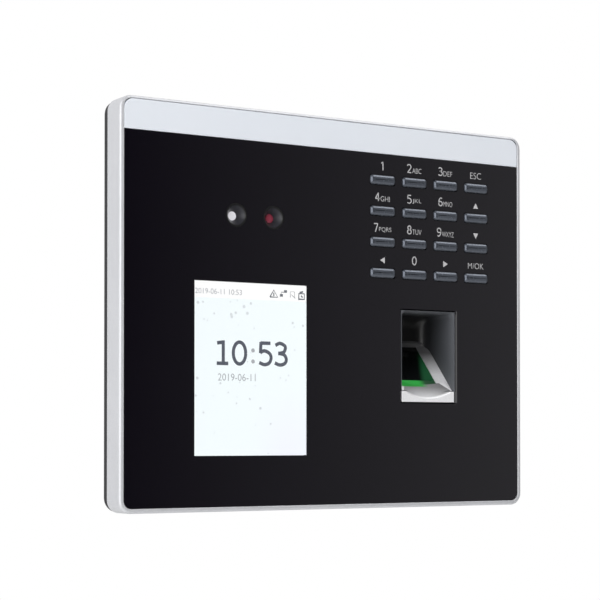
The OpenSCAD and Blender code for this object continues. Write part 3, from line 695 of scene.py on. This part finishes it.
# %% Silver frame
CORNER = 4.3 * MM
RIM = 1.55 * MM
RIM_TOP = 0.95 * MM
EDGE = 0.9 * MM
POCKET = 2.2 * MM
WALL = 2.4 * MM
REAR_CHAMFER = 0.3 * MM
frame_depth = FRAME_HIGH.y - FRAME_LOW.y


def frame_loop(inset, depth, top_inset=None):
    top = inset if top_inset is None else top_inset
    return round_outline(FRAME_LOW.x + inset, FRAME_LOW.z + inset, FRAME_HIGH.x - inset, FRAME_HIGH.z - top,
                         CORNER - inset, FACE_Y + depth, steps=12)


bm = bmesh.new()
outside = [frame_loop(REAR_CHAMFER, frame_depth), frame_loop(0.0, frame_depth - REAR_CHAMFER)]
outside += [frame_loop(inset, drop) for inset, drop in quarter(EDGE, 8)]
inside = [frame_loop(RIM - 0.12 * MM, 0.0, RIM_TOP - 0.02 * MM), frame_loop(RIM, 0.12 * MM, RIM_TOP),
          frame_loop(RIM, POCKET, RIM_TOP), frame_loop(WALL, POCKET), frame_loop(WALL, frame_depth)]
add_loft(bm, outside + inside, ring=True)
finish_piece("silver_frame", bm, "silver_paint", "terminal", ["front_frame"])
print("frame ring with", len(outside + inside), "loops")

# %% [markdown]
# ## Parts that only need softer edges
#
# A moulded part never has a perfectly sharp edge. For parts whose CAD shape is already right, the
# quick way to that look is a bevel: copy the mesh, join its flat triangles into whole faces, and
# round every edge that turns by more than 35 degrees.

# %% Soft copies of CAD parts
def clean_copy(node):
    bm = bmesh.new()
    bm.from_mesh(NODES[node].data)
    bmesh.ops.remove_doubles(bm, verts=bm.verts, dist=0.0005 * MM)
    bmesh.ops.dissolve_limit(bm, angle_limit=math.radians(1.0), verts=bm.verts, edges=bm.edges)
    return bm


def round_edges(bm, edges, radius_mm, steps, clamp=True):
    bmesh.ops.bevel(bm, geom=edges, offset=radius_mm * MM, offset_type="OFFSET", segments=steps, profile=0.5,
                    affect="EDGES", clamp_overlap=clamp)


def sharp_edges(bm):
    between_faces = [edge for edge in bm.edges if len(edge.link_faces) == 2]
    return [edge for edge in between_faces if edge.calc_face_angle() > math.radians(35)]


def softened(name, node, radius_mm, steps=2, finish=None):
    bm = clean_copy(node)
    round_edges(bm, sharp_edges(bm), radius_mm, steps)
    piece = finish_piece(name, bm, SLOTS[node], NODES[node]["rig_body"], [node], finish=finish)
    print(name, "has", len(piece.data.polygons), "faces")
    return piece


softened("rear_shell", "rear_cover", 0.25)
softened("light_band", "top_band", 0.35, 3)
softened("silver_finger_rest", "finger_rest", 0.25, 3)
softened("steel_bracket", "wall_bracket", 0.2)
softened("lens_funnels", "lens_bezel", 0.12, finish="funnel_grey")

# %% [markdown]
# ## The black front sheet
#
# The sheet is cut out for the display, the keys, the lens funnels and the finger recess. Every
# cut-out has a hair of rounding. The right-hand side of the recess has a wider chamfer, polished like
# the face. It is turned to the light and shows as one thin bright line that fades at its ends.

# %% Black front sheet
CHAMFER_MM = 0.6
recess_low, recess_high = corners("finger_well")
lip_low = corners("finger_rest")[0]


def beside_recess(edge):
    """True for the long upright edge of the sheet on the right of the recess."""
    return all(v.co.x > recess_high.x and v.co.x < recess_high.x + 1 * MM and v.co.y < sheet_front + 0.01 * MM
               and lip_low.z - 1 * MM < v.co.z < recess_high.z for v in edge.verts)


bm = clean_copy("front_panel")
sheet_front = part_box("front_panel")[0].y
beside = [edge for edge in sharp_edges(bm) if beside_recess(edge)]
round_edges(bm, [edge for edge in sharp_edges(bm) if edge not in beside], 0.1, 2)
beside = [edge for edge in sharp_edges(bm) if beside_recess(edge)]
round_edges(bm, beside, CHAMFER_MM, 1, clamp=False)
finish_piece("black_front", bm, "black_gloss", "terminal", ["front_panel"])
print("chamfered", len(beside), "edge beside the recess")

# %% [markdown]
# ## Walls of the finger recess
#
# The recess is a moulded pocket with an open foot, where the finger rest lies. Its walls flare
# towards the front, so that no rim shows, and its far corners are rounded, because a mould needs
# draft and radii. It is lofted from front to back: each section is an upside-down U with a thickness.

# %% Recess walls
WALL_T = 0.7 * MM
FRONT_T = 0.1 * MM
BACK_T = 1.0 * MM
FLARE_DEPTH = 2.7 * MM
CEILING_R = 2.0 * MM
FAR_R = 4.5 * MM
FOOT_RISE = 17.9 * MM
well_half = (recess_high.x - recess_low.x) / 2
well_x = (recess_high.x + recess_low.x) / 2
back_y = recess_high.y - BACK_T


def wall_thickness(y):
    """Thin at the front, where the wall flares, and thick at the back, where its corner is round."""
    flare = max(0.0, 1 - (y - recess_low.y) / FLARE_DEPTH) ** 2
    past_start = max(0.0, y - (back_y - FAR_R))
    corner = FAR_R - math.sqrt(max(FAR_R ** 2 - past_start ** 2, 0.0))
    return WALL_T - flare * (WALL_T - FRONT_T) + corner


def wall_section(y):
    """An upside-down U at depth y, whose feet rise along the slope of the finger rest."""
    thick = wall_thickness(y)
    half = well_half - thick
    top = recess_high.z - thick
    past_lip = max(0.0, y - recess_low.y - FLARE_DEPTH)
    foot = recess_low.z + past_lip * FOOT_RISE / (recess_high.y - recess_low.y - FLARE_DEPTH)
    points = [(well_x - half, foot)]
    for side, start in ((-1, 180), (1, 90)):
        for step in range(7):
            angle = math.radians(start - 90 * step / 6)
            points.append((well_x + side * (half - CEILING_R) + CEILING_R * math.cos(angle),
                           top - CEILING_R + CEILING_R * math.sin(angle)))
    points += [(well_x + half, foot), (recess_high.x, foot), (recess_high.x, recess_high.z),
               (recess_low.x, recess_high.z), (recess_low.x, foot)]
    return [Vector((x, y, z)) for x, z in points]


depths = [recess_low.y + share * FLARE_DEPTH for share in (0.0, 0.1, 0.25, 0.45, 0.7, 1.0)]
depths += [back_y - FAR_R + FAR_R * math.sin(math.radians(90 * step / 10)) for step in range(11)]
bm = bmesh.new()
add_loft(bm, [wall_section(y) for y in depths], cap_start=True, cap_end=True)
back_foot = recess_low.z + FOOT_RISE
back_wall = [round_outline(recess_low.x, back_foot - BACK_T, recess_high.x, recess_high.z, 0.5 * MM, y,
                           steps=2) for y in (back_y - 0.02 * MM, recess_high.y)]
add_loft(bm, back_wall, cap_start=True, cap_end=True)
finish_piece("recess_walls", bm, SLOTS["finger_well"], "terminal", ["finger_well"], finish="dark_well")
print("recess is", round((back_y - recess_low.y) / MM, 1), "mm deep")

# %% [markdown]
# ## Key caps
#
# Each cap has straight sides in its slot, a well-rounded edge and a nearly flat front: the crown is
# only two hundredths of a millimetre high. A skirt behind the panel keeps the cap from falling out.

# %% Key caps
SKIRT = 0.62 * MM
SKIRT_DEPTH = 0.8 * MM
KEY_EDGE = 1.25 * MM
KEY_CROWN = 0.02 * MM
KEY_CORNER = 1.05 * MM


def key_cap(node):
    low, high = corners(node)
    x0, z0, x1, z1 = low.x + SKIRT, low.z + SKIRT, high.x - SKIRT, high.z - SKIRT
    shoulder = high.y - SKIRT_DEPTH

    def loop(inset, y):
        radius = KEY_CORNER - 0.7 * inset
        return round_outline(x0 + inset, z0 + inset, x1 - inset, z1 - inset, radius, y, steps=5)

    front = low.y + KEY_CROWN
    loops = [round_outline(low.x, low.z, high.x, high.z, 0.8 * MM, y, steps=5) for y in (high.y, shoulder)]
    loops += [loop(0.0, shoulder)] + [loop(inset, front + drop) for inset, drop in quarter(KEY_EDGE, 6)]
    half = (z1 - z0) / 2 - KEY_EDGE
    for share in (0.3, 0.6, 0.9):
        loops.append(loop(KEY_EDGE + half * share, front - KEY_CROWN * math.sin(share * math.pi / 2)))
    bm = bmesh.new()
    add_loft(bm, loops, cap_start=True, cap_end=True)
    return finish_piece(node.replace("key", "cap"), bm, "key_grey", node, [node], 40.0)


KEYS = [name for name in NODES if name.startswith("key_")]
for key in KEYS:
    key_cap(key)
print(len(KEYS), "caps")

# %% [markdown]
# ## Lettering
#
# The legends above the keys and the clock on the display are plain digits, letters and arrows. Each
# one is a text or a stroke turned into a thin mesh and fitted into a box of a known size, so the
# legends sit exactly where a screen printer's film would put them.

# %% White ink and display inks
FINISH["ink_white"] = grained(
    "white_screen_ink", ("#c4c3c5", "#cfced0"), grain_mm=0.2, roughness=(0.45, 0.6), depth_mm=0.003,
    cloud_mm=3.0)[0]


def display_ink(name, colour):
    """Dark or grey dots of the lit picture."""
    material, tree, shader, place = grained(name, (colour, colour), 0.18, (0.2, 0.3))
    shader.inputs["Base Color"].default_value = linear("#101114")
    tree.links.remove(shader.inputs["Base Color"].links[0])
    fine = add(tree, "ShaderNodeTexNoise", {"Scale": 1 / DOT, "Detail": 1.0}, {"Vector": place})
    tone = add(tree, "ShaderNodeMix", {"data_type": "RGBA", 6: linear(colour), 7: linear("#f4fbfd")},
        {0: remap(tree, fine, 0.0, 0.10)})
    tree.links.new(tone.outputs[2], shader.inputs["Emission Color"])
    shader.inputs["Emission Strength"].default_value = 1.0
    return material


FINISH["clock_ink"] = display_ink("display_slate", "#3b4050")
FINISH["grey_ink"] = display_ink("display_grey", "#a9acb1")
FINISH["icon_ink"] = display_ink("display_dark_grey", "#5d6068")
print("inks ready")


# %% Text as mesh, fitted into a box
INK = 0.03 * MM


def add_text(bm, text, x0, x1, z0, z1, y, thinner=0.0):
    """Adds a line of text that fills the box from x0, z0 to x1, z1 at depth y."""
    curve = bpy.data.curves.new("line_of_text", "FONT")
    curve.body = text
    curve.offset = -thinner
    curve.resolution_u = 4
    holder = bpy.data.objects.new("line_of_text", curve)
    bpy.context.scene.collection.objects.link(holder)
    bpy.context.view_layer.update()
    mesh = bpy.data.meshes.new_from_object(holder.evaluated_get(bpy.context.evaluated_depsgraph_get()))
    xs = [v.co.x for v in mesh.vertices]
    ys = [v.co.y for v in mesh.vertices]
    for v in mesh.vertices:
        across = (v.co.x - min(xs)) / (max(xs) - min(xs))
        up = (v.co.y - min(ys)) / (max(ys) - min(ys))
        v.co = Vector((x0 + across * (x1 - x0), y, z0 + up * (z1 - z0)))
    bm.from_mesh(mesh)
    bpy.data.objects.remove(holder)
    bpy.data.curves.remove(curve)
    bpy.data.meshes.remove(mesh)


def add_polygon(bm, points, y):
    bm.faces.new([bm.verts.new((x, y, z)) for x, z in points])


def thicken(bm, amount):
    """Gives flat ink a thickness towards the back, so that it is a closed solid."""
    bmesh.ops.remove_doubles(bm, verts=bm.verts, dist=0.001 * MM)
    bmesh.ops.recalc_face_normals(bm, faces=bm.faces)
    for face in bm.faces:
        if face.normal.y > 0:
            face.normal_flip()
    made = bmesh.ops.extrude_face_region(bm, geom=bm.faces[:], use_keep_orig=True)
    moved = [item for item in made["geom"] if isinstance(item, bmesh.types.BMVert)]
    bmesh.ops.translate(bm, vec=(0.0, amount, 0.0), verts=moved)


print("text helper ready")

# %% [markdown]
# Digits are drawn with a pen: each is a few strokes of one width, straight or smoothly curved through
# a handful of points, in a box one unit wide and high. A nine is a six turned upside down.

# %% Pen strokes
def smooth_through(points, steps=8):
    """More points on a smooth curve through the given ones (Catmull-Rom)."""
    padded = [points[0]] + list(points) + [points[-1]]
    result = []
    for a, b, c, d in zip(padded, padded[1:], padded[2:], padded[3:]):
        for step in range(steps):
            t = step / steps
            result.append(tuple(
                0.5 * (2 * q + (r - p) * t + (2 * p - 5 * q + 4 * r - s) * t * t
                       + (3 * q - p - 3 * r + s) * t ** 3) for p, q, r, s in zip(a, b, c, d)))
    return result + [points[-1]]


def add_stroke(bm, points, width, y):
    """A flat ribbon of one width along a line of points."""
    rows = []
    for i, (x, z) in enumerate(points):
        before = points[max(i - 1, 0)]
        after = points[min(i + 1, len(points) - 1)]
        along = Vector((after[0] - before[0], after[1] - before[1])).normalized()
        side = Vector((-along.y, along.x)) * width / 2
        rows.append([bm.verts.new((x + side.x, y, z + side.y)), bm.verts.new((x - side.x, y, z - side.y))])
    for a, b in zip(rows, rows[1:]):
        bm.faces.new((a[0], a[1], b[1], b[0]))


def oval(cx, cz, rx, rz):
    turns = [math.radians(a) for a in range(0, 361, 12)]
    return [(cx + rx * math.cos(turn), cz + rz * math.sin(turn)) for turn in turns]


SIX = [smooth_through([(0.84, 0.88), (0.62, 0.96), (0.34, 0.88), (0.14, 0.62), (0.09, 0.34)]),
       oval(0.5, 0.30, 0.41, 0.25)]
GLYPHS = {
    "0": [oval(0.5, 0.5, 0.44, 0.45)],
    "1": [[(0.22, 0.80), (0.60, 0.94)], [(0.60, 0.0), (0.60, 0.98)]],
    "1 with a foot": [[(0.03, 0.06), (1.0, 0.06)], [(0.58, 0.06), (0.58, 1.0)], [(0.06, 0.89), (0.58, 0.93)]],
    "2": [smooth_through([(0.08, 0.80), (0.28, 0.94), (0.62, 0.94), (0.86, 0.76), (0.76, 0.52), (0.40, 0.26),
                          (0.08, 0.06)]), [(0.04, 0.05), (0.94, 0.05)]],
    "3": [
        smooth_through([(0.08, 0.86), (0.42, 0.95), (0.78, 0.86), (0.84, 0.74), (0.70, 0.58), (0.30, 0.53)]),
        smooth_through([(0.30, 0.53), (0.74, 0.48), (0.92, 0.28), (0.78, 0.11), (0.42, 0.05), (0.04, 0.13)])],
    "4": [[(0.70, 0.0), (0.70, 0.97)], [(0.70, 0.95), (0.06, 0.30)], [(0.03, 0.28), (0.97, 0.28)]],
    "5": [[(0.14, 0.94), (0.88, 0.94)], [(0.17, 0.98), (0.13, 0.52)],
          smooth_through([(0.11, 0.54), (0.42, 0.62), (0.80, 0.52), (0.93, 0.33), (0.78, 0.12), (0.42, 0.05),
                          (0.04, 0.13)])],
    "6": SIX,
    "7": [[(0.05, 0.94), (0.93, 0.94)], [(0.90, 0.94), (0.36, 0.0)]],
    "8": [oval(0.5, 0.75, 0.34, 0.20), oval(0.5, 0.29, 0.42, 0.24)],
    "9": [[(1 - x, 1 - z) for x, z in stroke] for stroke in SIX]}


def add_glyph(bm, glyph, x0, z0, width, height, pen, y):
    for stroke in GLYPHS[glyph]:
        add_stroke(bm, [(x0 + x * width, z0 + z * height) for x, z in stroke], pen, y)


print(len(GLYPHS), "digits")

# %% [markdown]
# The keypad repeats one pattern: a digit, and on most keys three or four small letters that share
# its baseline. The arrow keys carry a solid triangle, and two keys carry a short word.

# %% Key legends
KEY_LEGENDS = {
    "key_1": ("1", ""), "key_2": ("2", "ABC"), "key_3": ("3", "DEF"), "key_4": ("4", "GHI"),
    "key_5": ("5", "JKL"), "key_6": ("6", "MNO"), "key_7": ("7", "PQRS"), "key_8": ("8", "TUV"),
    "key_9": ("9", "WXYZ"), "key_0": ("0", "")}
KEY_WORDS = {"key_esc": ("ESC", 4.9, 2.3), "key_ok": ("M/OK", 7.0, 2.1)}
KEY_ARROWS = {"key_up": 90, "key_down": 270, "key_left": 180, "key_right": 0}
PRINT_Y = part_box("front_panel")[0].y - 0.01 * MM
BASELINE = 3.4 * MM
DIGIT_H = 3.1 * MM
DIGIT_W = 1.9 * MM
DIGIT_PEN = 0.36 * MM
LETTER_H = 1.8 * MM
LETTER_W = 1.3 * MM
LETTER_GAP = 0.35 * MM
ARROW_UP = 4.5 * MM
ARROW_MM = ((1.05, 0.0), (-0.95, 1.1), (-0.95, -1.1))


def key_centre(node):
    low, high = corners(node)
    return (low.x + high.x) / 2, (low.z + high.z) / 2


bm = bmesh.new()
for node, (digit, letters) in KEY_LEGENDS.items():
    x, z = key_centre(node)
    base = z + BASELINE
    letters_w = LETTER_W * len(letters)
    left = x - (DIGIT_W + (LETTER_GAP + letters_w if letters else 0.0)) / 2
    add_glyph(bm, digit, left, base, DIGIT_W, DIGIT_H, DIGIT_PEN, PRINT_Y)
    if letters:
        start = left + DIGIT_W + LETTER_GAP
        add_text(bm, letters, start, start + letters_w, base, base + LETTER_H, PRINT_Y, thinner=0.01)
for node, (word, width_mm, height_mm) in KEY_WORDS.items():
    x, z = key_centre(node)
    half = width_mm * MM / 2
    base = z + BASELINE
    add_text(bm, word, x - half, x + half, base, base + height_mm * MM, PRINT_Y, thinner=0.012)
for node, angle in KEY_ARROWS.items():
    x, z = key_centre(node)
    turn = math.radians(angle)
    points = [(x + (a * math.cos(turn) - b * math.sin(turn)) * MM,
               z + ARROW_UP + (a * math.sin(turn) + b * math.cos(turn)) * MM) for a, b in ARROW_MM]
    add_polygon(bm, points, PRINT_Y)
thicken(bm, INK)
finish_piece("key_legends", bm, "key_grey", "terminal", finish="ink_white")
print("legends printed at", round(PRINT_Y / MM, 2), "mm")

# %% [markdown]
# ## The clock on the display
#
# The clock uses the same pen as the legends, only larger. Its "1" stands on a foot.

# %% Clock, date and status line
GLASS_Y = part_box("display_panel")[0].y - 0.03 * MM
CLOCK = (("1 with a foot", 8.3, 4.5), ("0", 14.4, 5.4), ("5", 24.5, 5.2), ("3", 30.6, 5.15))
CLOCK_TOP = 19.45 * MM
CLOCK_H = 8.1 * MM
CLOCK_PEN = 1.2 * MM
COLON_R = 0.7 * MM


def from_left(mm):
    return SCREEN_LOW.x + mm * MM


def from_top(mm):
    return SCREEN_HIGH.z - mm * MM


bm = bmesh.new()
clock_foot = SCREEN_HIGH.z - CLOCK_TOP - CLOCK_H
for glyph, left, width in CLOCK:
    add_glyph(bm, glyph, from_left(left), clock_foot, width * MM, CLOCK_H, CLOCK_PEN, GLASS_Y)
finish_piece("clock_digits", bm, "lcd_glass", "terminal", finish="clock_ink")

bm = bmesh.new()
for down in (22.5, 26.2):
    disc = [(from_left(22.3) + COLON_R * math.cos(math.radians(a)),
             from_top(down) + COLON_R * math.sin(math.radians(a))) for a in range(0, 360, 20)]
    add_polygon(bm, disc, GLASS_Y)
add_text(bm, "2019-06-11", from_left(8.9), from_left(23.3), from_top(32.8), from_top(30.4), GLASS_Y)
add_text(bm, "2019-06-11 10:53", from_left(0.3), from_left(18.0), from_top(4.2), from_top(2.4), GLASS_Y)
finish_piece("date_and_status", bm, "lcd_glass", "terminal", finish="grey_ink")

# %% Status icons
bm = bmesh.new()
WARNING = ((0.45, ((28.9, 4.3), (31.9, 4.3), (30.4, 1.9), (28.9, 4.3))), (0.45, ((30.4, 4.0), (30.4, 2.8))))
NETWORK = ((0.9, ((32.8, 3.6), (34.0, 3.6))), (0.9, ((34.4, 2.2), (35.6, 2.2))),
           (0.25, ((33.3, 3.2), (33.3, 2.5), (34.4, 2.5))))
SERVER = ((0.18, ((36.9, 4.2), (36.9, 2.2), (38.6, 2.2), (38.6, 4.2))), (0.18, ((37.3, 3.2), (38.9, 4.4))))
LOCK = ((0.5, ((40.3, 4.6), (42.5, 4.6), (42.5, 2.7), (40.3, 2.7), (40.3, 4.9))),
        (0.6, ((40.6, 2.4), (42.0, 2.0))), (0.5, ((41.2, 3.4), (41.8, 4.0))))
for pen, stroke in WARNING + NETWORK + SERVER + LOCK:
    add_stroke(bm, [(from_left(x), from_top(z)) for x, z in stroke], pen * MM, GLASS_Y)
finish_piece("status_icons", bm, "lcd_glass", "terminal", finish="icon_ink")
print("display drawn")

# %% [markdown]
# ## Finishes for the parts that stay as they are
#
# The other CAD parts already have the right shape. Each takes the finish that the record names.

# %% Finish the CAD parts
for name, node in NODES.items():
    node.data.materials.clear()
    node.data.materials.append(FINISH[SLOTS[name]])
print("finished", len(NODES), "CAD parts")

# %% [markdown]
# ## Studio
#
# A product like this is shot in white surroundings with a large soft light on its left. A weaker one,
# above on the right, lights the top of the frame. The black front works as a mirror, so the side it
# faces is kept dark, with a slow rise to the right that gives the front its gradient. A pale floor
# lies well below the terminal, which is made for a wall but hangs free here, with no wall behind it.

# %% Floor
FLOOR_DROP = 0.24
FLOOR_HALF = 1.0
floor_mesh = bpy.data.meshes.new("floor")
floor_z = FRAME_LOW.z - FLOOR_DROP
floor_corners = [(x * FLOOR_HALF, y * FLOOR_HALF, floor_z) for x, y in ((-1, -1), (1, -1), (1, 1), (-1, 1))]
floor_mesh.from_pydata(floor_corners, [], [(0, 1, 2, 3)])
floor = bpy.data.objects.new("floor", floor_mesh)
bpy.context.scene.collection.objects.link(floor)
board = grained("pale_studio_board", ("#efefee", "#f3f3f2"), 3.0, (0.6, 0.7), cloud_mm=300.0)
floor_mesh.materials.append(board[0])

# %% Surroundings
world = bpy.data.worlds.new("studio")
bpy.context.scene.world = world
world.use_nodes = True
tree = world.node_tree
background = tree.nodes["Background"]
way = add(tree, "ShaderNodeSeparateXYZ", {}, {"Vector": add(tree, "ShaderNodeTexCoord").outputs["Generated"]})
behind = add(tree, "ShaderNodeMapRange",
             {"From Min": -0.5, "From Max": 0.4, "To Min": 0.03, "To Max": 0.9,
              "interpolation_type": "SMOOTHSTEP"}, {"Value": way.outputs["Y"]})
above = add(tree, "ShaderNodeMapRange", {"From Min": -0.2, "From Max": 0.8, "To Min": 0.6, "To Max": 1.05},
            {"Value": way.outputs["Z"]})
around = add(tree, "ShaderNodeMath", {"operation": "MULTIPLY"}, {0: behind, 1: above})
rise = add(tree, "ShaderNodeMapRange", {"From Min": 0.42, "From Max": 0.66, "To Max": 0.66},
           {"Value": way.outputs["X"]})
fall = add(tree, "ShaderNodeMapRange", {"From Min": 0.66, "From Max": 0.80, "To Min": 1.0, "To Max": 0.25},
           {"Value": way.outputs["X"]})
rightward = add(tree, "ShaderNodeMath", {"operation": "MULTIPLY"}, {0: rise, 1: fall})
together = add(tree, "ShaderNodeMath", {"operation": "MAXIMUM"}, {0: around, 1: rightward})
seen = add(tree, "ShaderNodeLightPath")
strength = add(tree, "ShaderNodeMix", {"data_type": "FLOAT", 3: 1.0},
               {0: seen.outputs["Is Camera Ray"], 2: together})
background.inputs["Color"].default_value = (1.0, 1.0, 1.0, 1.0)
tree.links.new(strength.outputs[0], background.inputs["Strength"])


# %% Softboxes
def softbox(name, way_to, distance, width, height, watts):
    data = bpy.data.lights.new(name, "AREA")
    data.shape = "RECTANGLE"
    data.size = width
    data.size_y = height
    data.energy = watts
    light = bpy.data.objects.new(name, data)
    light.location = MIDDLE + Vector(way_to).normalized() * distance
    light.rotation_euler = (MIDDLE - light.location).to_track_quat("-Z", "Y").to_euler()
    bpy.context.scene.collection.objects.link(light)


softbox("key_softbox", (-0.85, -0.52, 0.15), 0.9, 0.9, 1.0, 8.0)
softbox("top_softbox", (0.40, -0.42, 0.80), 0.9, 0.9, 0.45, 4.0)
bpy.context.scene.view_settings.view_transform = "Standard"
print("studio ready")
